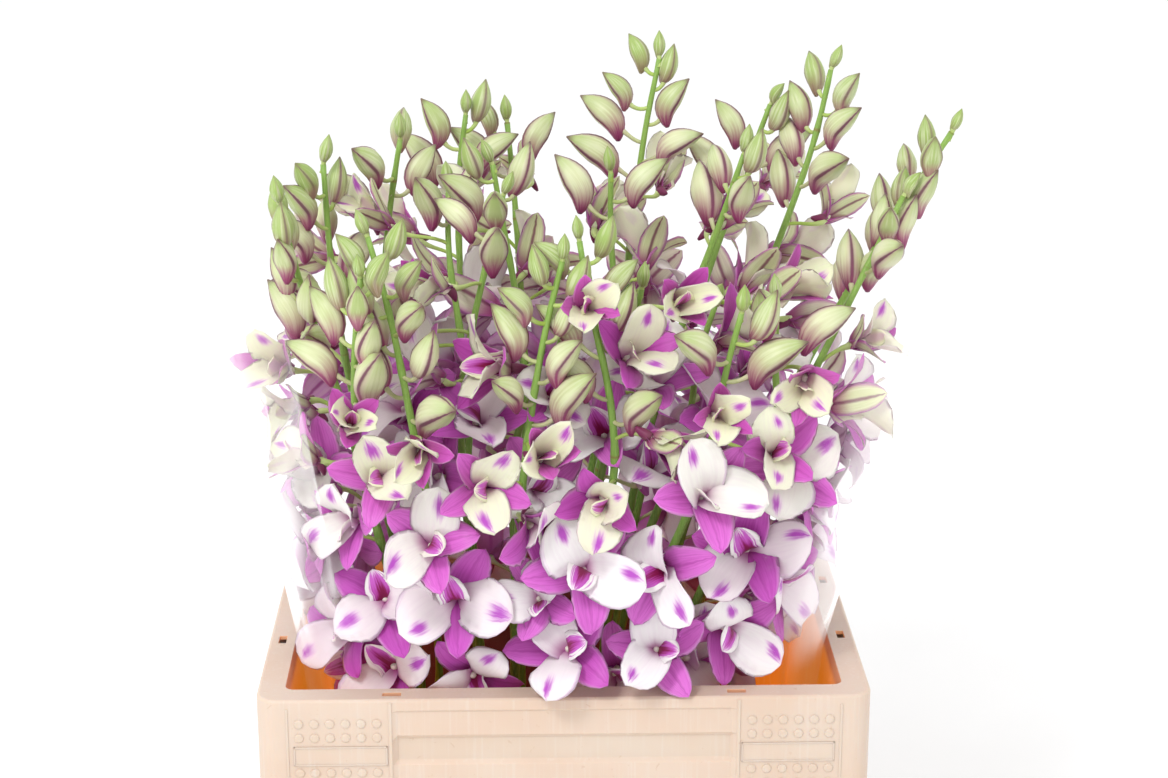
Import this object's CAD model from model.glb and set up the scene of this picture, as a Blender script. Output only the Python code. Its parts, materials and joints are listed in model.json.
# %% [markdown]
# # Cut dendrobium orchids in a flower crate
#
# Twenty-four orchid sprays stand in a plastic flower crate inside a clear film sleeve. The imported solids
# come in first, as a fixed frame. Each spray's plain solid is then replaced by thin, curved petals, buds
# and stems that follow it flower by flower, so the looks and the solids stay one object.

import json
import math

import bpy
import numpy as np
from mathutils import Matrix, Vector
from mathutils.bvhtree import BVHTree

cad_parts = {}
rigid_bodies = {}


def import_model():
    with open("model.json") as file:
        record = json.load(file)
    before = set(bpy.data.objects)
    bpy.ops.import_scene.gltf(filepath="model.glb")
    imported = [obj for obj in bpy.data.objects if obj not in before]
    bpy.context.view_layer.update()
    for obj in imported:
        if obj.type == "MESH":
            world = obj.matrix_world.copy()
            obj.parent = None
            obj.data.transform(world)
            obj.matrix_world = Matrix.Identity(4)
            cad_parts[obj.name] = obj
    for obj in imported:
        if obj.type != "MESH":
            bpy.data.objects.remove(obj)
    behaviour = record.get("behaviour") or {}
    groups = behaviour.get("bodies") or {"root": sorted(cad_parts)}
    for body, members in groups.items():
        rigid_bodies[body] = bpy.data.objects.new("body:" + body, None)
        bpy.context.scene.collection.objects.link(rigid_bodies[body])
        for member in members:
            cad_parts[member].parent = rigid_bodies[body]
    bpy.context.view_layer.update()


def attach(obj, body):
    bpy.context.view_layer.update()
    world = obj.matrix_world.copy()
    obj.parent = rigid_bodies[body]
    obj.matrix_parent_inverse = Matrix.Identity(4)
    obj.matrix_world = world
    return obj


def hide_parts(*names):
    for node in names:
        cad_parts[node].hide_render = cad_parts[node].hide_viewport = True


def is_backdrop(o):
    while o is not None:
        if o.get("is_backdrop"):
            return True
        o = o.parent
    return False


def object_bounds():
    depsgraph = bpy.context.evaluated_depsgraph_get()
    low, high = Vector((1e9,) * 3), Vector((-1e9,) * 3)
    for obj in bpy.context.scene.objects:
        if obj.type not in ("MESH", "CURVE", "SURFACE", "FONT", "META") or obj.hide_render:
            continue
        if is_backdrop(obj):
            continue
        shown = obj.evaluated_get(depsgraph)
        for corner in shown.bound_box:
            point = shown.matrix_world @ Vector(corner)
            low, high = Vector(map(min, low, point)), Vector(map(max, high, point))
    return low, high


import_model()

# %% [markdown]
# ## Camera
#
# The picture looks down on the crate's rim at about 17 degrees from a little to the left, with a long
# lens, so the crate's sides barely converge. The distance follows from two sizes: the front rim is
# 400 mm wide and fills a little over half the picture, and the rim's depth fixes how far away that is.

# %% Place the camera
def place_camera(spot, pitch, yaw, lens):
    """Camera at spot, looking pitch degrees down and yaw degrees to the left of straight ahead."""
    data = bpy.data.cameras.new("studio_camera")
    data.lens, data.sensor_width, data.clip_start = lens, 36.0, 0.05
    camera = bpy.data.objects.new("studio_camera", data)
    camera.location = spot
    camera.rotation_euler = (math.radians(90 - pitch), 0.0, math.radians(yaw))
    bpy.context.scene.collection.objects.link(camera)
    bpy.context.scene.camera = camera
    return camera


camera = place_camera((-0.022, -1.570, 0.915), 17.42, -1.39, 74.0)
print("camera", tuple(round(v, 3) for v in camera.location), "lens", camera.data.lens)

# %% [markdown]
# ## Where everything grows
#
# The flowers have to sit exactly where the solids have them. Their places were never drawn by hand: they
# come from a rule with seeded random draws, so repeating the rule with the same numbers gives the same
# flowers. Sprays stand in two rings that flare above the rim. A flower is drawn, tested against all that
# is already there, and drawn again if it crosses anything.

# %% Sizes shared with the solids
# Metres. DRAFT is how far the inside wall leans in for each metre down
SEED = 41
CRATE_WIDTH, CRATE_DEPTH, CRATE_HEIGHT = 0.400, 0.300, 0.260
CORNER_RADIUS, RIM_WIDTH, RIM_BAND = 0.014, 0.018, 0.009
WALL, SKIRT_WALL, FLOOR, CLEAR, DRAFT = 0.003, 0.004, 0.004, 0.0004, 0.07
SKIRT_HEIGHT, LABEL_ZONE = 0.092, 0.088
PANEL_RECESS, GRIP_RECESS, GRIP_TOP, GRIP_BOTTOM, GRIP_SLOPE = 0.0015, 0.0042, 0.026, 0.044, 0.003
print("crate, m:", CRATE_WIDTH, CRATE_DEPTH, CRATE_HEIGHT)

# %% [markdown]
# ### Stems
#
# Cut stems stand close together at the foot and lean outwards above the rim, because the flowers need
# room. Each could be drawn as a curve by hand. Here one rule gives all of them: a place on a rounded
# rectangle that widens with height, plus a small bow and lean of the spray's own.

# %% Stems: the rule for their lines
RING_SPRAYS, INNER_SPRAYS, INNER_SCALE = 16, 8, 0.48
FOOT_HALF_X, TOP_HALF_X = 0.086, 0.172
FOOT_HALF_Y, TOP_HALF_Y = 0.070, 0.124
FOOT_SHIFT, DRIFT_ABOVE_RIM = -0.018, 0.05
FLARE_HEIGHT, FLARE_REACH, RING_POWER = 0.335, 0.115, 3.2
# Shares of the stem's height where its line may bend
STEM_LEVELS = (0.0, 0.36, 0.50, 0.62, 0.73, 0.83, 0.92, 1.0)
TIP_HEIGHT, TIP_SPREAD, TIP_WANDER, TIP_SWAY, BACK_RISE = 0.552, 0.020, 0.030, 0.011, 0.022
# By the spray's number: how much higher its tip is, and how far it leans in x and y
TIP_RISES = {0: 0.020, 1: 0.052, 2: 0.022, 3: 0.044, 6: 0.028, 8: 0.022, 13: -0.032, 14: -0.028, 15: 0.006,
             20: 0.012, 22: -0.020, 23: -0.026}
TIP_LEANS = {0: (0.058, 0.010), 1: (0.002, 0.0), 2: (0.012, 0.0), 3: (0.027, 0.0), 7: (-0.014, 0.0),
             8: (-0.046, 0.0), 9: (-0.014, 0.0), 10: (-0.042, 0.010), 12: (-0.030, 0.004), 15: (0.030, 0.0)}


def unit(vector):
    """The vector over its own length."""
    return vector / np.linalg.norm(vector)


def ring_point(turn, power):
    """A point of the unit superellipse |x|^power + |y|^power = 1, turns counted from +X."""
    c, s = np.cos(turn), np.sin(turn)
    return np.sign(c) * np.abs(c) ** (2 / power), np.sign(s) * np.abs(s) ** (2 / power)


def even_turns(count, half_x, half_y):
    """Turns that space count points evenly by length round the ring."""
    turns = np.linspace(0, 2 * np.pi, 1441)
    x, y = ring_point(turns, RING_POWER)
    length = np.concatenate([[0], np.cumsum(np.hypot(np.diff(x * half_x), np.diff(y * half_y)))])
    return np.interp((np.arange(count) + 0.5) / count * length[-1], length, turns)


def flare(height, foot, top):
    """Half the bundle's size: a tanh step from foot low down to top high up."""
    return foot + (top - foot) / 2 * (1 + np.tanh((height - FLARE_HEIGHT) / FLARE_REACH))


def stem_curve(spray, height):
    """The bundle's spread, the spray's own bow and the lean of its tip, added up."""
    half = np.array([flare(height, FOOT_HALF_X, TOP_HALF_X), flare(height, FOOT_HALF_Y, TOP_HALF_Y)])
    share = np.clip((height - FLARE_HEIGHT) / (spray["tip"] - FLARE_HEIGHT), 0, None)
    bow = spray["bow"] * np.sin(np.pi * height / spray["tip"])
    bow = bow + spray["sway"] * np.sin(1.6 * np.pi * np.clip(share, 0, 1))
    drift = DRIFT_ABOVE_RIM * np.maximum(height - CRATE_HEIGHT, 0)
    shift = np.array([FOOT_SHIFT * np.clip(1 - height / TIP_HEIGHT, 0, 1) + drift, 0.0])
    return np.array([*(spray["unit"] * half + shift + spray["lean"] * share**2 + bow), height])


def stem_point(spray, height):
    """The stem's centre line, straight between the levels it was built from."""
    line = spray["line"]
    return np.array([np.interp(height, line[:, 2], line[:, axis]) for axis in range(3)])


def spray_plan():
    """Every spray: its place in the ring, its tip height and the lean of its tip."""
    plan = []
    for count, scale in ((RING_SPRAYS, 1.0), (INNER_SPRAYS, INNER_SCALE)):
        for turn in even_turns(count, scale * TOP_HALF_X, scale * TOP_HALF_Y):
            number = len(plan)
            rng = np.random.default_rng([SEED, number])
            x, y = ring_point(turn, RING_POWER)
            tip = TIP_HEIGHT + BACK_RISE * y + rng.uniform(-TIP_SPREAD, TIP_SPREAD)
            lean = np.array(TIP_LEANS.get(number, (0.0, 0.0)))
            spray = {
                "number": number,
                "inner": scale < 1,
                "unit": np.array([x * scale, y * scale]),
                "outward": np.array([x / TOP_HALF_X, y / TOP_HALF_Y]),
                "tip": tip + TIP_RISES.get(number, 0.0),
                "lean": lean + rng.uniform(-TIP_WANDER, TIP_WANDER, 2),
                "bow": rng.uniform(-0.006, 0.006, 2),
                "sway": rng.uniform(-TIP_SWAY, TIP_SWAY, 2),
            }
            spray["line"] = np.array([stem_curve(spray, spray["tip"] * level) for level in STEM_LEVELS])
            plan.append(spray)
    return plan


plan = spray_plan()
print(len(plan), "sprays, tips from", round(min(s["tip"] for s in plan), 3), "m")

# %% [markdown]
# ### Plain stems and crate
#
# A flower may not cross a stem, the crate or the film, so plain versions of these are needed to test
# against. Each is a loft: rings of points in order, joined by quads, with a cap at each end. The crate's
# rings run along its section, from the underside round the skirt and the rim to the inside floor, and the
# finished crate uses them again.

# %% Plain stems and crate
STEM_FOOT_RADIUS, STEM_TIP_RADIUS, STEM_SIDES = 0.0031, 0.0016, 4


def loft(rings):
    """Points and faces of a closed solid: rings bridged in order, with a cap at each end."""
    count = len(rings[0])
    faces = [list(range(count))[::-1]]
    for level in range(len(rings) - 1):
        low, high = level * count, (level + 1) * count
        faces += [[low + i, low + (i + 1) % count, high + (i + 1) % count, high + i] for i in range(count)]
    faces.append([(len(rings) - 1) * count + i for i in range(count)])
    return np.concatenate(rings), faces


def stem_radius(spray, height):
    """Foot radius, plus the step to the tip's radius times the square of the height's share."""
    return STEM_FOOT_RADIUS + (STEM_TIP_RADIUS - STEM_FOOT_RADIUS) * (height / spray["tip"]) ** 2


def stem_solid(spray, foot, top, extra=0.0):
    """A square tube along the stem's line between two heights, thicker by extra all round."""
    heights = [foot, *[h for h in spray["line"][:, 2] if foot < h < top], top]
    angles = np.arange(STEM_SIDES) * 2 * np.pi / STEM_SIDES
    circle = np.stack([np.cos(angles), np.sin(angles), 0 * angles], axis=1)
    return loft([stem_point(spray, h) + (stem_radius(spray, h) + extra) * circle for h in heights])


def crate_outline(inset, height, recess, steps=2):
    """Rounded rectangle, anticlockwise from above, whose middle stretches sit back by recess."""
    half_x, half_y = CRATE_WIDTH / 2 - inset, CRATE_DEPTH / 2 - inset
    radius = max(CORNER_RADIUS - inset, 0.006)
    step_x, step_y, ramp = CRATE_WIDTH / 2 - LABEL_ZONE, CRATE_DEPTH / 2 - LABEL_ZONE, 0.004
    points = []
    for side, (sign_x, sign_y) in enumerate(((1, -1), (1, 1), (-1, 1), (-1, -1))):
        centre_x, centre_y = sign_x * (half_x - radius), sign_y * (half_y - radius)
        for step in range(steps + 1):
            angle = math.radians(-90 + 90 * side + 90 * step / steps)
            points.append((centre_x + radius * math.cos(angle), centre_y + radius * math.sin(angle)))
        if side % 2 == 0:
            back = sign_x * (half_x - recess)
            points += [(sign_x * half_x, -sign_x * step_y), (back, -sign_x * (step_y - ramp))]
            points += [(back, sign_x * (step_y - ramp)), (sign_x * half_x, sign_x * step_y)]
        else:
            back = sign_y * (half_y - recess)
            points += [(sign_y * step_x, sign_y * half_y), (sign_y * (step_x - ramp), back)]
            points += [(-sign_y * (step_x - ramp), back), (-sign_y * step_x, sign_y * half_y)]
    return np.array([(x, y, height) for x, y in points])


def inner_inset(height):
    """How far the inside wall stands in from the crate's outline at this height."""
    return RIM_WIDTH + (CRATE_HEIGHT - height) * DRAFT


def crate_rings(steps=2):
    """The crate's section, from the underside round the skirt and rim to the inside floor."""
    top = CRATE_HEIGHT
    section = (
        (inner_inset(0) - WALL, 0.0, 0.0),
        (RIM_WIDTH - WALL, top - WALL, 0.0),
        (SKIRT_WALL, top - WALL, PANEL_RECESS),
        (SKIRT_WALL, top - SKIRT_HEIGHT, PANEL_RECESS),
        (0.0, top - SKIRT_HEIGHT, PANEL_RECESS),
        (0.0, top - GRIP_BOTTOM - GRIP_SLOPE, PANEL_RECESS),
        (0.0, top - GRIP_BOTTOM, GRIP_RECESS),
        (0.0, top - GRIP_TOP - GRIP_SLOPE, GRIP_RECESS),
        (0.0, top - GRIP_TOP, PANEL_RECESS),
        (0.0, top - RIM_BAND, PANEL_RECESS),
        (0.0, top - RIM_BAND + 0.0012, 0.0),
        (0.0, top - 0.0015, 0.0),
        (0.0015, top, 0.0),
        (RIM_WIDTH, top, 0.0),
        (inner_inset(FLOOR), FLOOR, 0.0),
    )
    return [crate_outline(*ring, steps) for ring in section]


print("the crate's section has", len(crate_rings()), "rings of", len(crate_rings()[0]), "points")

# %% [markdown]
# ### Plain film
#
# The film stands against the inside of the rim and opens with height, in slow waves. It could be draped by
# a cloth simulation, but film this stiff doesn't hang in folds, so a formula over turn and height gives it.

# %% Plain film
SLEEVE_FOOT, SLEEVE_TOP, SLEEVE_THICKNESS = 0.075, 0.560, 0.0008
SLEEVE_START, SLEEVE_END, SLEEVE_COLUMNS, SLEEVE_ROWS = -58.0, 238.0, 27, 6
SLEEVE_FLARE_X, SLEEVE_FLARE_Y = 0.20, 0.23
SLEEVE_POWER, SLEEVE_WAVE = 4.0, 0.004


def sleeve_point(turn, height):
    """The film's middle: a superellipse against the rim, wider and waving with height above it."""
    above, below = np.maximum(height - CRATE_HEIGHT, 0), np.minimum(height - CRATE_HEIGHT, 0)
    half_x = CRATE_WIDTH / 2 - RIM_WIDTH - 0.0012 + above * SLEEVE_FLARE_X + below * 0.12
    half_y = CRATE_DEPTH / 2 - RIM_WIDTH - 0.0012 + above * SLEEVE_FLARE_Y + below * 0.12
    wave = SLEEVE_WAVE * np.minimum(above / 0.1, 1.5) * (np.sin(9 * turn + 1.0) + 0.6 * np.sin(17 * turn))
    x, y = ring_point(turn, SLEEVE_POWER)
    drift = DRIFT_ABOVE_RIM * above
    return np.stack([x * (half_x + wave) + drift, y * (half_y + wave), height + 0 * turn], axis=-1)


def sleeve_levels(turns, rows):
    """Heights of the film's rows, one line per row: level below, dipping and rising at the top edge."""
    levels = np.concatenate([[SLEEVE_FOOT], np.linspace(CRATE_HEIGHT, SLEEVE_TOP, rows - 1)])
    dip = 0.018 * np.sin(3 * turns + 0.5)
    return levels[:, None] + dip * np.clip((levels[:, None] - 0.4) / 0.16, 0, 1) ** 2


def sleeve_solid():
    """An open sheet of film: an outer and an inner grid joined round their edges."""
    turns = np.radians(np.linspace(SLEEVE_START, SLEEVE_END, SLEEVE_COLUMNS))
    middle = sleeve_point(turns + 0 * sleeve_levels(turns, SLEEVE_ROWS), sleeve_levels(turns, SLEEVE_ROWS))
    x, y = ring_point(turns, 2.0)
    outward = SLEEVE_THICKNESS / 2 * np.stack([x, y, 0 * x], axis=-1)
    points = np.concatenate([(middle + outward).reshape(-1, 3), (middle - outward).reshape(-1, 3)])
    across, size = SLEEVE_COLUMNS, SLEEVE_ROWS * SLEEVE_COLUMNS
    faces = []
    for row in range(SLEEVE_ROWS - 1):
        for column in range(across - 1):
            a = row * across + column
            faces.append([a, a + 1, a + across + 1, a + across])
            faces.append([size + a, size + a + across, size + a + across + 1, size + a + 1])
    edge = [row * across for row in range(SLEEVE_ROWS)]
    border = list(range(across)) + [e + across - 1 for e in edge[1:]]
    border += [size - 2 - i for i in range(across - 1)] + edge[-2:0:-1]
    faces += [[b, a, size + a, size + b] for a, b in zip(border, border[1:] + border[:1])]
    return points, faces


print("the plain film has", len(sleeve_solid()[1]), "faces")

# %% [markdown]
# ### Where flowers sit
#
# Blooms sit on both sides of a stem in turn, a row every 34 mm or so, and face outwards with a wide
# scatter. The youngest, near the top, are still half shut. Each draw scatters a little around this rule,
# and later draws are smaller and closer in, so a crowded place still gets its flower where one fits.

# %% Flowers: the rule for their places
FIRST_BLOOM, BLOOM_PITCH, BACK_PITCH = 0.250, 0.034, 0.16
FRONT_BLOOMS, BACK_BLOOMS, INNER_FIRST_BLOOM, INNER_BLOOMS = 7, 8, 0.372, 5
FULL_SPRAYS = (13, 14, 15)
BLOOM_REACH, BLOOM_SIDESTEP, ROOT_PAST_AXIS, BLOOM_TRIES = 0.034, 0.019, 0.0016, 70
# The youngest flowers, from the top: how steeply their lobes stand, how narrow and how large they are
OPENING = ((62.0, 0.62, 0.92), (48.0, 0.80, 0.98), (38.0, 0.94, 1.02))
# One bloom hangs over the rim: its reach, sidestep, lift, yaw, pitch, roll and cup
OVER_THE_RIM = {(11, 1): (0.054, 0.006, 0.000, 0.0, 26.0, -58.0, 9.0)}
# Name, bearing in degrees, length, width and forward tilt in degrees
LOBES = (
    ("dorsal_sepal", 90.0, 0.0425, 0.0200, 0.0),
    ("left_petal", 158.0, 0.0430, 0.0330, 4.0),
    ("left_sepal", 226.0, 0.0405, 0.0200, -2.0),
    ("lip", 270.0, 0.0345, 0.0230, 36.0),
    ("right_sepal", 314.0, 0.0405, 0.0200, -2.0),
    ("right_petal", 22.0, 0.0430, 0.0330, 4.0),
)


def bloom_count(spray):
    """How many flowers a spray plans: fewest inside, most at the back."""
    if spray["inner"]:
        return INNER_BLOOMS
    full = spray["unit"][1] > 0.3 or spray["number"] in FULL_SPRAYS
    return BACK_BLOOMS if full else FRONT_BLOOMS


def bloom_height(spray, row):
    """Height on the stem of a row's flower; rows are further apart in the sprays at the back."""
    first = INNER_FIRST_BLOOM if spray["inner"] else FIRST_BLOOM
    return first + row * BLOOM_PITCH * (1 + BACK_PITCH * spray["unit"][1])


def turned_frame(facing, roll):
    """Columns right, up and facing of a flower that looks along facing, rolled about it."""
    side = unit(np.cross([0.0, 0.0, 1.0], facing))
    up = np.cross(facing, side)
    right = np.cos(roll) * side + np.sin(roll) * up
    return np.stack([right, np.cross(facing, right), facing], axis=1)


def draw_flower(spray, row, side, rng, trial):
    """One draw of a flower's place and attitude. Later trials are smaller and reach less far."""
    from_top = bloom_count(spray) - 1 - row
    stem = stem_point(spray, bloom_height(spray, row))
    outward = unit(np.array([*spray["outward"], 0.0]))
    tangent = np.array([-outward[1], outward[0], 0.0])
    squeeze = trial / BLOOM_TRIES
    reach = BLOOM_REACH * (0.78 if spray["inner"] else 1.0) * rng.uniform(0.82 - 0.2 * squeeze, 1.28)
    sidestep = side * BLOOM_SIDESTEP * rng.uniform(0.5, 1.25)
    lift = rng.uniform(-0.002, 0.014)
    yaw = side * 14 + rng.uniform(-38, 38)
    pitch = rng.uniform(12, 62) if spray["inner"] else rng.uniform(-16, 34)
    roll = rng.uniform(-150, 150)
    cup, narrow, size = rng.uniform(14, 36), 1.0, 1.05
    if from_top < len(OPENING):
        cup, narrow, size = OPENING[from_top]
    if (spray["number"], row) in OVER_THE_RIM:
        reach, sidestep, lift, yaw, pitch, roll, cup = OVER_THE_RIM[spray["number"], row]
    centre = stem + outward * reach + tangent * sidestep + np.array([0.0, 0.0, lift])
    yaw, pitch = math.radians(yaw), math.radians(pitch)
    level = math.cos(yaw) * outward + math.sin(yaw) * tangent
    facing = math.cos(pitch) * level + np.array([0.0, 0.0, math.sin(pitch)])
    return {
        "centre": centre,
        "axes": turned_frame(facing, math.radians(roll)),
        "root": stem + unit(stem - centre) * ROOT_PAST_AXIS,
        "cups": cup + rng.uniform(-7, 7, len(LOBES)),
        "size": size * rng.uniform(0.93, 1.05) * (1 - 0.24 * squeeze),
        "narrow": narrow,
        "spray": spray["number"],
        "from_top": from_top,
    }


print("a full spray plans", BACK_BLOOMS, "flowers, the others", FRONT_BLOOMS, "or", INNER_BLOOMS)

# %% [markdown]
# ### A flower's plain skin
#
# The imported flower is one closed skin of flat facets: six lobes round a small hub, and a stalk that ends in
# the stem. It isn't shown. The test for crossings needs exactly this skin, or the draws would come out
# differently here and in the solids.

# %% Plain flowers
HUB_RADIUS, HUB_FACE, HUB_BAR, STALK_ROOT = 0.0036, 0.0018, 0.0012, 2
STEEPEST, WIDEST_LIMIT = 80.0, 0.75
# Outline corners: share of the length, and of the width to either side
POINTED = ((0.44, 0.50), (1.0, 0.0), (0.44, -0.50))
BLUNT = ((0.50, 0.50), (0.95, 0.24), (0.95, -0.24), (0.50, -0.50))
OUTLINES = {"sepal": POINTED, "petal": BLUNT, "lip": BLUNT}
LOBE_MIDDLE, LOBE_DEPTH = 0.52, 0.0026


def lobe_points(lobe, cup, size, narrow):
    """Outline of one lobe and the middle of its back, in the flower's own axes.

    A lobe that stands more steeply has its widest place further out. Seen from the front it then stays
    in its own sector of the flower, and its base never crosses the next lobe's.
    """
    name, bearing, length, width, tilt = lobe
    outline = np.array(OUTLINES[name.split("_")[-1]])
    angle, rise = math.radians(bearing), math.radians(min(cup + tilt, STEEPEST))
    flat = np.array([math.cos(angle), math.sin(angle), 0.0])
    along = math.cos(rise) * flat + np.array([0.0, 0.0, math.sin(rise)])
    across = np.array([-math.sin(angle), math.cos(angle), 0.0])
    length, width = length * size, width * size * narrow
    out, over = outline[:, :1], outline[:, 1:]
    if name != "lip":
        out = np.where(out < WIDEST_LIMIT, np.minimum(out / math.cos(rise), WIDEST_LIMIT), out)
    edge = out * length * along - over * width * across
    return edge, LOBE_MIDDLE * length * along - LOBE_DEPTH * np.cross(along, across)


def flower_solid(flower):
    """A flower as one closed skin.

    Five lobes stand round a hub and share the notches between them. Their fronts meet at the two ends
    of a short bar across the hub's face, and their backs taper into the stalk. The lip rises from the
    triangle between the bar and the notch below it.
    """
    left, right, root = 0, 1, STALK_ROOT
    points = [np.array([-HUB_BAR, 0.0, HUB_FACE]), np.array([HUB_BAR, 0.0, HUB_FACE]), flower["root"]]
    ring = sorted((lobe[1], i) for i, lobe in enumerate(LOBES) if lobe[0] != "lip")
    notches = [len(points) + i for i in range(len(ring))]
    for (before, _), (after, _) in zip([(ring[-1][0] - 360, 0)] + ring, ring):
        middle = math.radians((before + after) / 2)
        points.append(HUB_RADIUS * np.array([math.cos(middle), math.sin(middle), 0.0]))
    faces = []
    for place, (bearing, i) in enumerate(ring):
        first, second = notches[place], notches[(place + 1) % len(ring)]
        edge, back = lobe_points(LOBES[i], flower["cups"][i], flower["size"], flower["narrow"])
        rim = [first, *range(len(points), len(points) + len(edge)), second]
        points += [*edge, back]
        middle = len(points) - 1
        sideways = round(math.cos(math.radians(bearing)), 1)
        start, end = (right if sideways >= 0 else left), (left if sideways <= 0 else right)
        for step, (a, b) in enumerate(zip(rim, rim[1:])):
            faces += [[a, b, start if step < len(edge) / 2 else end], [b, a, middle]]
        if start != end:
            faces.append([rim[len(rim) // 2], left, right])
        faces += [[first, second, middle], [second, first, root]]
    lip = [lobe[0] for lobe in LOBES].index("lip")
    edge, back = lobe_points(LOBES[lip], flower["cups"][lip], flower["size"], flower["narrow"])
    a, b, c, d, middle = range(len(points), len(points) + 5)
    points += [*edge, back]
    rim = [left, notches[-1], right, d, c, b, a]
    faces += [[left, a, d, right], [a, b, c, d]]
    faces += [[u, v, middle] for u, v in zip(rim, rim[1:] + rim[:1])]
    placed = np.array(points) @ flower["axes"].T + flower["centre"]
    placed[root] = flower["root"]
    return placed, faces


print("a flower's lobes:", [lobe[0] for lobe in LOBES])

# %% [markdown]
# ### Where buds sit
#
# Buds carry on above the flowers, closer together and smaller towards the tip. They point up and out, and
# the last one sits on the end of the stem. A plain bud is a spike with a square section.

# %% Buds: the rule for their places
BUD_GAP, BUD_PITCH_FIRST, BUD_PITCH_LAST = 0.014, 0.0140, 0.0105
BUD_LENGTH_FIRST, BUD_LENGTH_LAST, BUD_STALK = 0.045, 0.027, 0.014
BUD_WIDTH, BUD_SIDES, BUD_TRIES = 0.42, 4, 60


def draw_bud(spray, height, side, share, rng, trial):
    """One draw of a bud: it points up and out, and buds near the tip are smaller."""
    stem = stem_point(spray, height)
    outward = unit(np.array([*spray["outward"], 0.0]))
    tangent = np.array([-outward[1], outward[0], 0.0])
    swing = side * rng.uniform(0.45, 1.0)
    level = unit(swing * tangent + rng.uniform(-0.25, 0.65 + trial / BUD_TRIES) * outward)
    rise = math.radians(rng.uniform(24, 60) + 24 * share)
    aim = math.cos(rise) * level + np.array([0.0, 0.0, math.sin(rise)])
    droop = math.radians(rng.uniform(-8, 30))
    stalk_way = math.cos(droop) * level + np.array([0.0, 0.0, math.sin(droop)])
    length = BUD_LENGTH_FIRST + (BUD_LENGTH_LAST - BUD_LENGTH_FIRST) * share
    length *= rng.uniform(0.92, 1.1) * (1 - 0.3 * trial / BUD_TRIES)
    stalk = BUD_STALK * rng.uniform(0.8, 1.25) * (1 - 0.35 * share)
    root = stem - stalk_way * ROOT_PAST_AXIS * 0.6
    neck = stem + stalk * stalk_way
    return {"root": root, "neck": neck, "aim": aim, "length": length, "share": share,
            "spray": spray["number"]}


def tip_bud(spray, rng):
    """The last bud sits on the end of the stem and carries on its line."""
    top = stem_point(spray, spray["tip"])
    aim = unit(top - stem_point(spray, spray["tip"] - 0.02) + rng.uniform(-0.005, 0.005, 3))
    length = 0.017 * rng.uniform(0.95, 1.25)
    root, neck = top - 0.006 * aim, top + 0.001 * aim
    return {"root": root, "neck": neck, "aim": aim, "length": length, "share": 1.2,
            "spray": spray["number"]}


def bud_solid(bud):
    """A spike from inside the stem to a ring, a wider ring and a tip."""
    aim = bud["aim"]
    side = unit(np.cross(aim, [0.3, 0.2, 1.0]))
    angles = np.arange(BUD_SIDES) * 2 * np.pi / BUD_SIDES + 0.4
    circle = np.outer(np.cos(angles), side) + np.outer(np.sin(angles), np.cross(aim, side))
    neck = bud["neck"] + 0.0019 * circle
    waist = bud["neck"] + 0.42 * bud["length"] * aim + bud["length"] * BUD_WIDTH / 2 * circle
    points = np.concatenate([[bud["root"]], neck, waist, [bud["neck"] + bud["length"] * aim]])
    faces = []
    for i in range(BUD_SIDES):
        j = (i + 1) % BUD_SIDES
        a, b, c, d = 1 + i, 1 + j, 1 + BUD_SIDES + i, 1 + BUD_SIDES + j
        faces += [[0, b, a], [a, b, d, c], [c, d, 1 + 2 * BUD_SIDES]]
    return points, faces


print("buds shrink from", 1000 * BUD_LENGTH_FIRST, "to", 1000 * BUD_LENGTH_LAST, "mm along a spray")

# %% [markdown]
# ### Room for each piece
#
# Real petals bend aside when they meet. Drawn petals cut through each other, unless each new piece is
# tested against its neighbours. A search tree of each skin makes the test quick. A skin must not cross
# itself either, which can happen where two lobes lean the same way.

# %% Test for room
class Clearance:
    """What is already placed. A new piece fits if its skin crosses none of it."""

    def __init__(self):
        self.centres, self.radii, self.trees, self.owners = [], [], [], []

    def add(self, points, faces, owner):
        """Keeps a skin's search tree, and the ball round the skin, under its owner's name."""
        middle = points.mean(axis=0)
        self.centres.append(middle)
        self.radii.append(np.linalg.norm(points - middle, axis=1).max())
        self.trees.append(BVHTree.FromPolygons(points.tolist(), faces))
        self.owners.append(owner)

    def fits(self, points, faces, skip=None):
        """Only skins whose balls meet are tested, face against face."""
        middle = points.mean(axis=0)
        radius = np.linalg.norm(points - middle, axis=1).max()
        gaps = np.linalg.norm(np.array(self.centres) - middle, axis=1)
        near = np.flatnonzero(gaps < np.array(self.radii) + radius)
        tree = BVHTree.FromPolygons(points.tolist(), faces)
        return not any(self.owners[i] != skip and tree.overlap(self.trees[i]) for i in near)


def crosses_itself(points, faces):
    """Whether any edge of a skin passes through one of its triangles that it doesn't touch."""
    tris = np.array([[face[0], face[i], face[i + 1]] for face in faces for i in range(1, len(face) - 1)])
    edges = np.unique(np.sort(np.concatenate([tris[:, :2], tris[:, 1:], tris[:, ::2]]), axis=1), axis=0)
    apart = ~(edges[:, None, :, None] == tris[None, :, None, :]).any(axis=(2, 3))
    edge, tri = np.nonzero(apart)
    start, end = points[edges[edge, 0]], points[edges[edge, 1]]
    corners = points[tris[tri]]
    normal = np.cross(corners[:, 1] - corners[:, 0], corners[:, 2] - corners[:, 0])
    before = ((start - corners[:, 0]) * normal).sum(axis=1)
    after = ((end - corners[:, 0]) * normal).sum(axis=1)
    through = before * after < 0
    share = (before[through] / (before - after)[through])[:, None]
    meeting = start[through] + share * (end - start)[through]
    corners, normal = corners[through], normal[through]
    inside = np.ones(len(meeting), bool)
    for i in range(3):
        side = np.cross(corners[:, (i + 1) % 3] - corners[:, i], meeting - corners[:, i])
        inside &= (side * normal).sum(axis=1) > 0
    return inside.any()


def swollen(points, centre, by=1.06):
    """A skin a little larger than life, so that a gap is left round it."""
    return centre + (points - centre) * by


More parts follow.
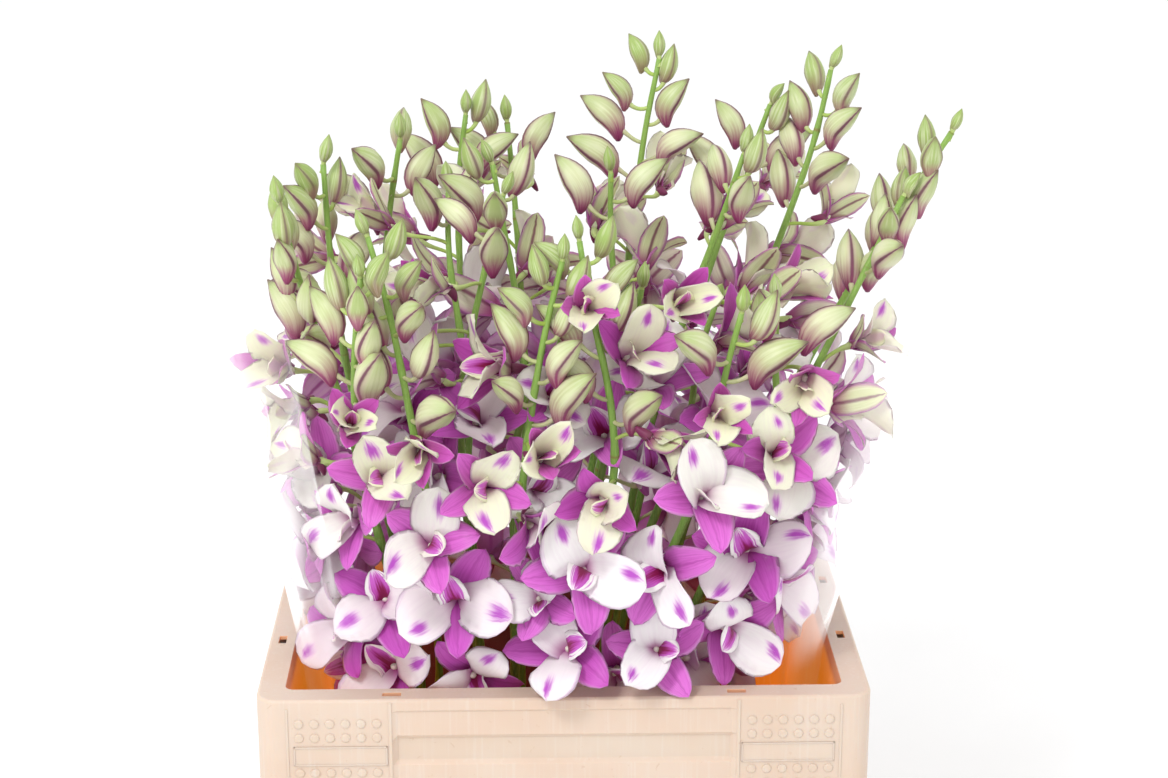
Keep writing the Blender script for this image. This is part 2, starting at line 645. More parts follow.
print("a bud crosses itself:", crosses_itself(*bud_solid(tip_bud(plan[0], np.random.default_rng(0)))))

# %% [markdown]
# ### Place everything
#
# Flowers go in from the lowest row up, then the buds. The order matters, because what is placed first
# takes the room.

# %% Place flowers and buds
def place_sprays(plan, obstacles):
    """Flowers from the lowest row up, then buds, each redrawn until it crosses nothing."""
    taken = Clearance()
    for points, faces, name in obstacles:
        taken.add(points, faces, name)
    for spray in plan:
        points, faces = stem_solid(spray, FLOOR + CLEAR, spray["tip"], CLEAR)
        taken.add(points, faces, ("stem", spray["number"]))
    flowers, buds = [], []
    rows = [(spray, row) for row in range(BACK_BLOOMS) for spray in plan if row < bloom_count(spray)]
    rows.sort(key=lambda place: (place[0]["number"], place[1]) not in OVER_THE_RIM)
    for spray, row in rows:
        rng = np.random.default_rng([SEED, spray["number"], row])
        side = 1 if row % 2 == 0 else -1
        own = ("stem", spray["number"])
        for trial in range(BLOOM_TRIES):
            flower = draw_flower(spray, row, side, rng, trial)
            points, faces = flower_solid(flower)
            wide = swollen(points, flower["centre"])
            wide[STALK_ROOT] = points[STALK_ROOT]
            if not taken.fits(wide, faces, own):
                continue
            lobes = [face for face in faces if STALK_ROOT not in face]
            tree = BVHTree.FromPolygons(wide.tolist(), lobes)
            if tree.overlap(taken.trees[taken.owners.index(own)]) or crosses_itself(points, faces):
                continue
            taken.add(points, faces, "flower")
            flowers.append(flower)
            break
    for spray in plan:
        rng = np.random.default_rng([SEED, spray["number"], 99])
        height = first = bloom_height(spray, bloom_count(spray) - 1) + BUD_GAP
        last = tip_bud(spray, rng)
        points, faces = bud_solid(last)
        taken.add(points, faces, "bud")
        buds.append(last)
        side = 1
        while height < spray["tip"] - 0.010:
            share = np.clip((height - first) / (spray["tip"] - first), 0, 1)
            for trial in range(BUD_TRIES):
                bud = draw_bud(spray, height, side, share, rng, trial)
                points, faces = bud_solid(bud)
                if taken.fits(swollen(points, bud["neck"], 1.08), faces, ("stem", spray["number"])):
                    taken.add(points, faces, "bud")
                    buds.append(bud)
                    break
            side = -side
            height += BUD_PITCH_FIRST + (BUD_PITCH_LAST - BUD_PITCH_FIRST) * share
    return flowers, buds


flowers, buds = place_sprays(plan, [(*loft(crate_rings()), "crate"), (*sleeve_solid(), "sleeve")])
print(len(flowers), "flowers,", len(buds), "buds")

# %% [markdown]
# ## Mesh tools
#
# Petals, stalks, buds and stems are all closed tubes: a ring of points carried along a path, flat and
# wide for a petal, round for a stalk. They could be sculpted one by one, but a crate holds a thousand of
# them. So one tool turns a whole batch of rings into one mesh, with a pole at each end. Three attributes
# ride on the points, and tell the finishes where on a petal they are.

# %% Rings to meshes
def wrap(rings, leaf, mood, finish, spot=None):
    """A batch of closed tubes. rings is (n, rows, ring, 3), and its first and last rows close on a pole.

    leaf is (n, rows, ring, 3): how far along, how far across, and front 1 or back 0. mood is (n, 3):
    colour tone, youth and a random number. spot places the petal's streak. Quad k of row i joins ring
    points k and k + 1 to row i + 1.
    """
    n, rows, ring, _ = rings.shape
    fields = []
    for values in (rings, leaf, leaf if spot is None else spot):
        poles = values[:, [0, -1]].mean(axis=2)
        fields.append(np.concatenate([values.reshape(n, -1, 3), poles], axis=1).reshape(-1, 3))
    i, k = np.meshgrid(np.arange(rows - 1), np.arange(ring), indexing="ij")
    j = (k + 1) % ring
    quads = np.stack([i * ring + k, i * ring + j, (i + 1) * ring + j, (i + 1) * ring + k], -1)
    k, j = np.arange(ring), (np.arange(ring) + 1) % ring
    foot = np.stack([np.full(ring, rows * ring), j, k], -1)
    top = np.stack([np.full(ring, rows * ring + 1), (rows - 1) * ring + k, (rows - 1) * ring + j], -1)
    size = rows * ring + 2
    starts = (np.arange(n) * size)[:, None, None]
    return {
        "points": fields[0],
        "leaf": fields[1],
        "spot": fields[2],
        "mood": np.repeat(mood, size, axis=0),
        "quads": (quads.reshape(-1, 4) + starts).reshape(-1, 4),
        "tris": (np.concatenate([foot, top]) + starts).reshape(-1, 3),
        "finish": finish,
    }


def show(name, mesh, *finishes):
    """A mesh becomes an object of the scene, with its finishes."""
    for finish in finishes:
        mesh.materials.append(finish)
    made = bpy.data.objects.new(name, mesh)
    bpy.context.scene.collection.objects.link(made)
    return made


def piece(name, parts, finishes):
    """One mesh object from many wrapped batches, each with its own finish."""
    start, faces, index = 0, [], []
    for part in parts:
        faces += (part["quads"] + start).tolist() + (part["tris"] + start).tolist()
        index += [part["finish"]] * (len(part["quads"]) + len(part["tris"]))
        start += len(part["points"])
    mesh = bpy.data.meshes.new(name)
    mesh.from_pydata(np.concatenate([p["points"] for p in parts]).tolist(), [], faces)
    made = show(name, mesh, *finishes)
    mesh.polygons.foreach_set("material_index", index)
    mesh.polygons.foreach_set("use_smooth", [True] * len(faces))
    for key in ("leaf", "mood", "spot"):
        values = mesh.attributes.new(key, "FLOAT_VECTOR", "POINT")
        values.data.foreach_set("vector", np.concatenate([p[key] for p in parts]).ravel().astype(np.float32))
    mesh.update()
    return made


def tube(path, radius, ring, guide):
    """Rings across a batch of paths.

    A ring point is the path plus radius times (cos a, sin a) in the plane across the path, whose first
    axis is path direction cross guide. path is (n, rows, 3), and radius broadcasts to (n, rows, ring).
    """
    way = np.gradient(path, axis=1)
    way /= np.linalg.norm(way, axis=2, keepdims=True)
    side = np.cross(way, guide)
    side /= np.linalg.norm(side, axis=2, keepdims=True)
    down = np.cross(way, side)
    angle = np.arange(ring) * 2 * np.pi / ring
    circle = np.cos(angle)[:, None] * side[:, :, None] + np.sin(angle)[:, None] * down[:, :, None]
    return path[:, :, None] + np.broadcast_to(radius, circle.shape[:3])[..., None] * circle


def bent_line(points, rows):
    """Cubic Bezier lines through a batch of four points each, (n, rows, 3)."""
    t = np.linspace(0, 1, rows)[:, None]
    a, b, c, d = (p[:, None] for p in points)
    return (1 - t) ** 3 * a + 3 * (1 - t) ** 2 * t * b + 3 * (1 - t) * t**2 * c + t**3 * d


def gather(group, key):
    """One value of every flower or bud in a group, as an array."""
    return np.array([item[key] for item in group])


def plain_leaf(n, rows, ring):
    """leaf values for a round tube: along runs 0 to 1, across is 0, side is 1."""
    leaf = np.zeros((n, rows, ring, 3))
    leaf[..., 0] = np.linspace(0, 1, rows)[:, None]
    leaf[..., 2] = 1
    return leaf


print("mesh tools ready")

# %% [markdown]
# ## Petals, sepals and lips
#
# A dendrobium flower has three pointed sepals, two broad petals that stand a little in front of them,
# and a lip whose side lobes curl up round the column. Each is a thin shell, 0.6 mm thick: the ring is a
# flat ellipse, its half width follows an outline, its middle line bends back towards the tip, and its
# edges lift and ripple. All flowers of a spray are worked out together in one array, and seeded draws
# keep any two from being the same.

# %% The lobe surface
# Outlines: how wide the foot starts, how fast it widens, how blunt it ends, its widening on the solid
OUTLINE = {
    "sepal": (0.08, 0.66, 0.64, 1.30),
    "petal": (0.03, 0.94, 0.60, 1.13),
    "lip": (0.10, 0.50, 0.58, 1.16),
}
# Rows, ring points, bend back along the length, lift of the edges, ripple, twist, step before the hub
SHAPE = {
    "sepal": (9, 10, 56.0, 0.26, 0.0010, 18.0, -0.0020),
    "petal": (11, 12, 76.0, 0.40, 0.0026, 28.0, 0.0028),
    "lip": (12, 14, 74.0, 0.30, 0.0016, 5.0, 0.0008),
}
SKIN = 0.0006
# Sepals and petals are a little longer than the flat blades that they replace, because they curl
CURL_ALLOWANCE = {"sepal": 1.12, "petal": 1.12, "lip": 1.0}
RIPPLES, STEEPEST_CURVED, LOPSIDED = 9.0, 84.0, {"sepal": 0.5, "petal": 0.5, "lip": 0.0}
# Lift of the edges: places along the lobe, strengths there, and the least and the range of its draw
EDGE_LIFT = {
    "sepal": ((0, 0.3, 1), (1.5, 1.0, 0.3), -0.7, 2.6),
    "petal": ((0, 0.3, 1), (1.5, 1.0, 0.3), -0.7, 2.6),
    "lip": ((0, 0.2, 0.42, 0.65, 1), (0.9, 1.6, 0.8, 0.0, -0.5), 0.6, 1.0),
}
# Degrees that a tip may turn and a lobe may sway, and the least and the range of the bend
TIP_TURN, SIDE_SWAY, BEND_LEAST, BEND_RANGE = 44, 26, 0.2, 1.3


def outline_of(kind, u):
    """Half width along a lobe, 1 at its widest: (u + foot)^rise times (1 - u)^blunt, over its maximum.

    A lip also has a bulge for its side lobes near the foot and a waist beyond them.
    """
    foot, rise, blunt, _ = OUTLINE[kind]

    def width(x):
        w = (x + foot) ** rise * np.clip(1 - x, 0, 1) ** blunt
        if kind == "lip":
            bulge, waist = np.exp(-(((x - 0.18) / 0.11) ** 2)), np.exp(-(((x - 0.40) / 0.09) ** 2))
            w = w * (1 + 0.30 * bulge - 0.16 * waist)
        return w

    return np.maximum(width(u) / width(np.linspace(0, 1, 200)).max(), 0.03)


def lobe_rings(group, lobe_index, seeds):
    """Flat elliptical rings along one lobe of every flower in the group, (n, rows, ring, 3).

    The slope falls from cup + bend/2 at the foot to cup - bend/2 at the tip, and the middle line is its
    running sum. A ring point at angle a lies cos(a) half widths across and sin(a) half skins up, the
    edges rise with the square of cos(a) and ripple, and the section turns with the length. One side is
    up to a quarter wider than the middle line says, and the other as much narrower.
    """
    name, bearing, length, width, tilt = LOBES[lobe_index]
    kind = name.split("_")[-1]
    rows, ring, bend, lift, ripple, twist, step = SHAPE[kind]
    u = 0.45 * np.linspace(0, 1, rows) + 0.55 * (1 - np.cos(np.pi * np.linspace(0, 1, rows))) / 2
    a = np.arange(ring) * 2 * np.pi / ring
    cup = np.minimum(gather(group, "cups")[:, lobe_index] + tilt, STEEPEST_CURVED)
    size, narrow = gather(group, "size"), gather(group, "narrow")
    openness = np.clip((narrow - 0.45) / 0.55, 0, 1)[:, None]
    bent = bend * (BEND_LEAST + BEND_RANGE * seeds[:, :1]) * openness
    tip_turn = TIP_TURN * openness * (seeds[:, 3:4] - 0.25) * u**4
    slope = np.radians(cup[:, None] + bent * (0.5 - u) - tip_turn)
    sway = np.radians(SIDE_SWAY * (seeds[:, 4:5] - 0.5) * u)
    way = np.stack([np.cos(slope) * np.cos(sway), np.cos(slope) * np.sin(sway), np.sin(slope)], -1)
    steps = (way[:, 1:] + way[:, :-1]) / 2 * np.diff(u)[None, :, None]
    run = np.concatenate([0 * way[:, :1], np.cumsum(steps, axis=1)], axis=1)
    spine = run * (length * size)[:, None, None] * CURL_ALLOWANCE[kind]
    half = width * OUTLINE[kind][3] / 2 * outline_of(kind, u) * (size * narrow**0.6)[:, None]
    v, s = np.cos(a), np.sin(a)
    places, strengths, fold_least, fold_range = EDGE_LIFT[kind]
    edge = np.interp(u, places, strengths)
    fold = fold_least + fold_range * seeds[:, 1:2]
    raised = lift * fold * edge + (1 - openness) * 0.25
    phase = seeds[:, 2, None, None] * 6.28
    wave = ripple * np.sin(RIPPLES * u[:, None] + phase + 1.3 * np.sign(v)) * v**4
    up_by = (raised * half)[..., None] * v**2 + SKIN / 2 * s + wave
    lopsided = LOPSIDED[kind] * (seeds[:, 0, None, None] - 0.5) * np.sin(np.pi * u)[:, None]
    across = half[..., None] * (v + lopsided * v**2) * (1 - 0.2 * np.abs(raised[..., None]) * v**2)
    turn = np.radians(twist * (2 * seeds[:, 5:6] - 1) * u)[..., None]
    cos_turn, sin_turn = np.cos(turn), np.sin(turn)
    across, up_by = across * cos_turn - up_by * sin_turn, across * sin_turn + up_by * cos_turn
    angle = math.radians(bearing)
    out = np.array([math.cos(angle), math.sin(angle), 0.0])
    axes = np.array([out, [-out[1], out[0], 0.0], [0, 0, 1]])
    normal = np.stack([-np.sin(slope), 0 * slope, np.cos(slope)], -1)
    spine[..., 2] += step
    local = spine[:, :, None] + across[..., None] * np.array([0.0, 1.0, 0.0])
    local = local + up_by[..., None] * normal[:, :, None]
    leaf = np.zeros(local.shape)
    leaf[..., 0] = u[:, None]
    leaf[..., 1] = v
    leaf[..., 2] = np.sign(np.round(s, 6)) / 2 + 0.5
    turned = np.einsum("nij,kj->nik", gather(group, "axes"), axes.T)
    return np.einsum("nij,nrkj->nrki", turned, local) + gather(group, "centre")[:, None, None], leaf


print("a petal has", SHAPE["petal"][0] * SHAPE["petal"][1] + 2, "points")

# %% [markdown]
# ## Flowers
#
# Round the six lobes come the small solid parts. The column is a stout waxy rod over the lip with a
# blunt cap. The chin is the spur that the lower sepals' joined feet make behind the lip. The stalk leaves
# the stem towards the flower and swings round to meet its back, so it is one Bezier curve.

# %% Flower parts
# A direction that no stalk or bud ever has, to hang the rings from
SLANT = np.array([0.31, 0.17, 0.93])
STREAK_PLACE, STREAK_SCATTER = np.array([0.80, 0.0, 0.0]), np.array([0.07, 0.34, 0.0])
STREAK_REACH = np.array([0.16, 0.29])
# Four Bezier points each, out along the flower's facing and up from its centre, and radii along them
COLUMN_LINE = ((-0.001, 0.0), (0.003, 0.001), (0.006, 0.0015), (0.0095, -0.0003))
CHIN_LINE = ((0.001, 0.0), (-0.003, -0.002), (-0.006, -0.005), (-0.008, -0.0085))
COLUMN_RADII = np.array([0.0030, 0.0029, 0.0026, 0.0025, 0.0028, 0.0025, 0.0011])[:, None]
CHIN_RADII = np.array([0.0034, 0.0040, 0.0038, 0.0032, 0.0024, 0.0012])[:, None]
STALK_RADII = np.array([0.0014, 0.0013, 0.0013, 0.0013, 0.0014, 0.0015, 0.0018, 0.0023, 0.0028])[:, None]


def flower_parts(group, rng):
    """Sepals, petals, lips, columns, chins and stalks of one spray's flowers."""
    n = len(group)
    young = np.interp(gather(group, "from_top"), (0, 1, 2, 3, 6), (1.25, 1.0, 0.75, 0.5, 0.0))
    mood = np.stack([rng.uniform(0, 1, n), young, rng.uniform(0, 100, n)], -1)
    parts = []
    for index, (name, *_) in enumerate(LOBES):
        rings, leaf = lobe_rings(group, index, rng.uniform(0, 1, (n, 6)))
        own = mood.copy()
        own[:, 2] = rng.uniform(0, 100, n)
        # The streak's own coordinates: 1 is its edge, 16% of the length and 29% of the half width away
        streak = STREAK_PLACE + STREAK_SCATTER * rng.uniform(-1, 1, (n, 3))
        reach = np.concatenate([STREAK_REACH * rng.uniform(0.75, 1.25, (n, 2)), np.ones((n, 1))], 1)
        spot = (leaf - streak[:, None, None]) / reach[:, None, None] * np.array([1.0, 1.0, 0.0])
        parts.append(wrap(rings, leaf, own, {"sepal": 0, "petal": 1, "lip": 2}[name.split("_")[-1]], spot))
    axes, centre, root = (gather(group, key) for key in ("axes", "centre", "root"))
    size = gather(group, "size")[:, None, None]
    right, up, facing = axes[:, :, 0], axes[:, :, 1], axes[:, :, 2]
    # The chin is coloured as the foot of a sepal's back
    chin_leaf = plain_leaf(n, len(CHIN_RADII), 8)
    chin_leaf[..., 0] = 0.25 - 0.25 * chin_leaf[..., 0]
    chin_leaf[..., 2] = 0
    for places, radii, leaf, finish in (
        (COLUMN_LINE, COLUMN_RADII, plain_leaf(n, len(COLUMN_RADII), 8), 3),
        (CHIN_LINE, CHIN_RADII, chin_leaf, 0),
    ):
        line = bent_line([centre + out * facing + higher * up for out, higher in places], len(radii))
        parts.append(wrap(tube(line, size * radii, 8, right[:, None]), leaf, mood, finish))
    gap = np.linalg.norm(centre - root, axis=1, keepdims=True)
    rise = np.array([0.0, 0.0, 1.0])
    line = bent_line((root, root + 0.35 * (centre - root) + 0.10 * gap * rise,
                      centre - 0.42 * gap * facing, centre - 0.0015 * facing), 9)
    parts.append(wrap(tube(line, STALK_RADII, 7, SLANT), plain_leaf(n, 9, 7), mood, 4))
    return parts


print("a flower has", len(LOBES), "lobes and 3 solid parts")

# %% [markdown]
# ## Buds and stems
#
# An orchid bud is three sepals folded shut: an egg with three blunt keels and a drawn-out tip. Its foot
# runs out sideways into the chin, so the whole bud looks like a boot. A tube whose radius changes along
# and around it gives the keels, and pulling its first rings sideways gives the boot. Stems are smooth
# tubes that swell a little at each node, where a thin scale sits.

# %% Bud parts
# Fuller than the plain spike's corners by 6%, with keels of 12% and a chin of a fifth of the length
BUD_FULLNESS, KEEL, CHIN = 1.06, 0.12, 0.20
EGG_ALONG = (0, 0.04, 0.12, 0.24, 0.38, 0.52, 0.66, 0.80, 0.92, 1)
EGG_RADIUS = (0.16, 0.36, 0.62, 0.88, 1.0, 0.99, 0.85, 0.58, 0.26, 0.05)
BUD_STALK_RADII = np.array([0.0018, 0.0015, 0.0015, 0.0015, 0.0015, 0.0016, 0.0019, 0.0022])[:, None]


def bud_parts(group, rng):
    """Closed buds: radius = egg outline along, times 1 + 12% of cos(3 a) for the keels.

    Near the foot the middle line moves down by (1 - t / 0.4)^2 of a fifth of the length: the chin.
    """
    n, rows, ring = len(group), 13, 12
    t = np.linspace(0, 1, rows) ** 1.25
    angle = np.arange(ring) * 2 * np.pi / ring
    neck, aim, root, share = (gather(group, key) for key in ("neck", "aim", "root", "share"))
    length = gather(group, "length")[:, None, None]
    # Up as seen from the bud, or outwards for the upright bud at the tip
    guide = np.where(np.abs(aim[:, 2:]) > 0.9, np.array([0.3, -1.0, 0.0]), np.array([0.0, 0.0, 1.0]))
    over = guide - (guide * aim).sum(axis=1, keepdims=True) * aim
    over /= np.linalg.norm(over, axis=1, keepdims=True)
    bow = 0.06 * np.sin(np.pi * t)[:, None] * over[:, None]
    spur = -(CHIN * np.clip(1 - t / 0.4, 0, 1) ** 2)[:, None] * over[:, None]
    path = neck[:, None] + length * (t[:, None] * aim[:, None] + bow + spur)
    egg = np.interp(t, EGG_ALONG, EGG_RADIUS)
    keel = 1 + KEEL * np.cos(3 * (angle + np.pi / 2)) * np.sin(np.pi * t)[:, None] ** 0.7
    radius = length * BUD_WIDTH / 2 * BUD_FULLNESS * egg[:, None] * keel
    rings = tube(path, radius, ring, over[:, None])
    leaf = np.zeros(rings.shape)
    leaf[..., 0] = t[:, None]
    leaf[..., 1] = np.cos(3 * (angle + np.pi / 2))
    leaf[..., 2] = 1
    mood = np.stack([rng.uniform(0, 1, n), share, rng.uniform(0, 100, n)], -1)
    parts = [wrap(rings, leaf, mood, 5)]
    gap = np.linalg.norm(neck - root, axis=1, keepdims=True)
    line = bent_line((root, root + 0.4 * (neck - root) - np.array([0.0, 0.0, 0.22]) * gap,
                      neck - 0.30 * gap * aim, neck + 0.004 * aim), 8)
    parts.append(wrap(tube(line, BUD_STALK_RADII, 7, SLANT), plain_leaf(n, 8, 7), mood, 4))
    return parts


print("buds are", round(1000 * min(b["length"] for b in buds)), "to",
      round(1000 * max(b["length"] for b in buds)), "mm long")

# %% [markdown]
# ### Stems
#
# The built line has corners at its levels. A running mean over five points rounds them off, and a row of
# soft steps in the radius makes the nodes.

# %% Stem part
def stem_part(spray, rng):
    """The stem: its built line rounded off, with a swelling of exp(-(gap to the node / 0.09)^2)."""
    rows, ring = 60, 9
    heights = np.linspace(FLOOR + CLEAR, spray["tip"], rows)
    straight = stem_point(spray, heights).T
    path = straight.copy()
    for axis in range(2):
        path[2:-2, axis] = np.convolve(straight[:, axis], np.ones(5) / 5, "valid")
    nodes = (heights / BLOOM_PITCH + spray["number"] * 0.37) % 1.0
    knuckle = np.exp(-(((nodes - 0.5) / 0.09) ** 2))
    # Full girth above the rim only, because each foot stands in a hole of the water
    girth = np.interp(heights, (0.20, 0.30), (0.94, 1.15))
    radius = stem_radius(spray, heights) * (girth + 0.24 * knuckle)
    leaf = plain_leaf(1, rows, ring)
    leaf[..., 1] = knuckle[:, None]
    mood = np.array([[rng.uniform(0, 1), spray["tip"], rng.uniform(0, 100)]])
    return wrap(tube(path[None], radius[:, None], ring, np.array([1.0, 0.0, 0.0])), leaf, mood, 6)


print("stems are", 2000 * STEM_FOOT_RADIUS, "mm thick at the foot and", 2000 * STEM_TIP_RADIUS, "at the tip")

# %% [markdown]
# ## Finishes
#
# Every finish starts from the real surface. Colours are written as sRGB hex and turned to linear light,
# which is what the renderer adds up. One small function adds a node, sets it and links it. A petal is
# painted as a plant colours it, in coats over a base: each coat fades in where some value rises, such as
# the distance along the petal or a vein pattern. Settings that many nodes share have short names.

# %% Colour and node tools
RGBA = {"data_type": "RGBA"}
SMOOTH = {"interpolation_type": "SMOOTHSTEP"}
TIMES, TIMES_PLUS, SIZE_OF = ({"operation": name} for name in ("MULTIPLY", "MULTIPLY_ADD", "ABSOLUTE"))


def linear(code):
    """sRGB hex to linear light: c / 12.92 up to 0.04045, ((c + 0.055) / 1.055) ^ 2.4 above."""
    c = np.array([int(code[i:i + 2], 16) for i in (1, 3, 5)]) / 255
    return (*np.where(c <= 0.04045, c / 12.92, ((c + 0.055) / 1.055) ** 2.4).tolist(), 1.0)


def add(tree, kind, settings=None, sockets=(), out=0):
    """Adds a node, sets its properties, sets or links its sockets and returns one output.

    A text value is a colour in hex.
    """
    made = tree.nodes.new("ShaderNode" + kind)
    for key, value in (settings or {}).items():
        setattr(made, key, value)
    for key, value in sockets.items() if isinstance(sockets, dict) else enumerate(sockets):
        if isinstance(value, bpy.types.NodeSocket):
            tree.links.new(value, made.inputs[key])
        else:
            made.inputs[key].default_value = linear(value) if isinstance(value, str) else value
    return made.outputs[out]


def start_finish(name, constants):
    """A new material, its node tree and its shader, with the shader's own sockets set."""
    finish = bpy.data.materials.new(name)
    finish.use_nodes = True
    shader = finish.node_tree.nodes["Principled BSDF"]
    for socket, value in constants.items():
        shader.inputs[socket].default_value = linear(value) if isinstance(value, str) else value
    return finish, finish.node_tree, shader


def coats(tree, base, layers):
    """Colours laid over a base. Each layer is (value, low, high, start, end, colour).

    The layer's strength goes smoothly from start to end as its value goes from low to high.
    """
    for value, low, high, start, end, colour in layers:
        strength = add(tree, "MapRange", SMOOTH, [value, low, high, start, end])
        base = add(tree, "Mix", RGBA, {0: strength, 6: base, 7: colour}, 2)
    return base


def read_leaf(tree, veins):
    """What rides on the points, by name, and noise drawn out along the veins.

    veins is how many times the pattern changes along and across the petal. Its lines run together at the
    foot, because across is measured in half widths.
    """
    leaf = add(tree, "Attribute", {"attribute_name": "leaf"}, out="Vector")
    mood = add(tree, "Attribute", {"attribute_name": "mood"}, out="Vector")
    read = {}
    for source, names in ((leaf, ("along", "across", "side")), (mood, ("tone", "young", "seed"))):
        for index, name in enumerate(names):
            read[name] = add(tree, "SeparateXYZ", None, [source], index)
    read["middle"] = add(tree, "Math", SIZE_OF, [read["across"]])
    where = add(tree, "VectorMath", TIMES_PLUS, [leaf, (*veins, 0.0), mood])
    read["vein"] = add(tree, "TexNoise", None, {"Vector": where, "Scale": 1.0, "Detail": 3.0})
    return read


def end_finish(tree, shader, colour, relief, strength, depth):
    """Links the colour, and a bump as deep as told, in metres."""
    tree.links.new(colour, shader.inputs["Base Color"])
    bump = add(tree, "Bump", None, {"Strength": strength, "Distance": depth, "Height": relief})
    tree.links.new(bump, shader.inputs["Normal"])


print("magenta in linear light:", [round(v, 3) for v in linear("#C157CC")[:3]])

# %% [markdown]
# ### Sepals
#
# Fresh petal tissue: satin, a little see-through, with veins about a millimetre apart. The face is
# magenta, darker along the veins and at the foot, with a pale edge. The back keeps the bud's colours:
# pale green with a purple line down the middle, purple edges and a purple foot, and turns magenta as the
# flower ages. Light goes through, so a little subsurface colour softens the shadows.

# %% Sepal finish
PETAL_BODY = {"Roughness": 0.42, "IOR": 1.40, "Subsurface Weight": 0.22, "Subsurface Scale": 0.003,
              "Subsurface Radius": (1.0, 0.6, 0.9), "Specular IOR Level": 0.35, "Sheen Weight": 0.10,
              "Sheen Roughness": 0.4}


def sepal_finish():
    finish, tree, shader = start_finish("sepal_tissue", PETAL_BODY)
    read = read_leaf(tree, (2.5, 12.0))
    face = coats(tree, "#D56ECB", (
        (read["tone"], 0.0, 1.0, 0.0, 1.0, "#BE50B6"),
        (read["vein"], 0.42, 0.66, 0.0, 0.34, "#A43696"),
        (read["middle"], 0.0, 0.14, 0.35, 0.0, "#962C88"),
        (read["along"], 0.0, 0.34, 0.85, 0.0, "#8A1C64"),
        (read["middle"], 0.72, 1.0, 0.0, 0.50, "#E6A9DF"),
        (read["young"], 0.8, 1.3, 0.0, 0.35, "#A83F86"),
    ))
    back = coats(tree, "#D9B9D6", (
        (read["young"], 0.35, 1.0, 0.0, 1.0, "#CDD3A0"),
        (read["vein"], 0.40, 0.66, 0.0, 0.45, "#E6E8C8"),
        (read["along"], 0.06, 0.48, 0.95, 0.0, "#94346F"),
        (read["middle"], 0.62, 0.96, 0.0, 0.85, "#A4438F"),
        (read["middle"], 0.03, 0.20, 0.85, 0.0, "#73284F"),
        (read["young"], 0.15, 0.85, 0.80, 0.0, "#C468BC"),
    ))
    colour = add(tree, "Mix", RGBA, {0: read["side"], 6: back, 7: face}, 2)
    end_finish(tree, shader, colour, read["vein"], 0.30, 0.0005)
    return finish


print(sepal_finish.__name__, "has a face and a back")

# %% [markdown]
# ### Petals
#
# White to cream, greener on the youngest flowers. Each has one feathery purple streak near the tip, about
# 14 mm by 10 mm, as if a brush had touched it, and a purple flush at the foot. The streak is an ellipse in
# coordinates that ride on the petal, frayed by noise that is drawn out along the veins.

# %% Petal finish
def petal_finish():
    finish, tree, shader = start_finish("petal_tissue", PETAL_BODY)
    read = read_leaf(tree, (2.0, 9.0))
    spot = add(tree, "Attribute", {"attribute_name": "spot"}, out="Vector")
    away = add(tree, "VectorMath", {"operation": "LENGTH"}, [spot], "Value")
    frayed = add(tree, "Math", TIMES_PLUS, [read["vein"], 1.5, away])
    edge = add(tree, "Math", TIMES_PLUS, [read["vein"], 0.5, read["middle"]])
    body = coats(tree, "#F4EEF0", (
        (read["tone"], 0.2, 1.0, 0.0, 0.8, "#EBD9E2"),
        (read["young"], 0.55, 1.2, 0.0, 1.0, "#E6E8C4"),
        (read["vein"], 0.42, 0.66, 0.0, 0.10, "#D3B6D0"),
        (read["along"], 0.03, 0.36, 0.95, 0.0, "#B64E9F"),
        (edge, 1.10, 1.28, 0.0, 0.40, "#C98FCB"),
    ))
    front = coats(tree, body, (
        (frayed, 1.15, 2.20, 0.60, 0.0, "#D795DA"),
        (frayed, 0.95, 1.85, 0.95, 0.0, "#AE45B8"),
    ))
    back = coats(tree, body, (
        (frayed, 1.25, 1.9, 0.30, 0.0, "#C98BD2"),
        (read["young"], 0.6, 1.25, 0.0, 0.5, "#DFE0BC"),
    ))
    colour = add(tree, "Mix", RGBA, {0: read["side"], 6: back, 7: front}, 2)
    end_finish(tree, shader, colour, read["vein"], 0.08, 0.0005)
    return finish


print(petal_finish.__name__, "has a streak")

# %% [markdown]
# ### Lip and column
#
# The lip carries the flower's target: a dark crimson throat with pale ridges, a magenta field that frays
# outwards along the veins, and a cream margin. The column above it is waxy cream, tinged at the cap.

# %% Lip and column finishes
def lip_finish():
    finish, tree, shader = start_finish("lip_tissue", PETAL_BODY)
    read = read_leaf(tree, (1.6, 8.0))
    edge = add(tree, "Math", TIMES_PLUS, [read["vein"], 1.1, read["middle"]])
    far = add(tree, "Math", TIMES_PLUS, [read["vein"], 0.45, read["along"]])
    reach = add(tree, "Math", {"operation": "MAXIMUM"}, [edge, far])
    deep = add(tree, "Math", TIMES_PLUS, [read["along"], 1.1, edge])
    front = coats(tree, "#F3EEEE", (
        (read["young"], 0.5, 1.1, 0.0, 1.0, "#E7E8C2"),
        (reach, 1.06, 1.30, 1.0, 0.0, "#C460C2"),
        (deep, 1.05, 1.90, 1.0, 0.0, "#AC3298"),
        (deep, 1.10, 1.62, 1.0, 0.0, "#7E0B44"),
    ))
    back = coats(tree, "#F0E6EC", (
        (read["young"], 0.5, 1.1, 0.0, 1.0, "#E4E5BE"),
        (read["middle"], 0.2, 0.9, 0.45, 0.0, "#CF8FCB"),
        (read["along"], 0.0, 0.4, 0.6, 0.0, "#B04F9A"),
    ))
    colour = add(tree, "Mix", RGBA, {0: read["side"], 6: back, 7: front}, 2)
    end_finish(tree, shader, colour, read["vein"], 0.35, 0.0006)
    return finish


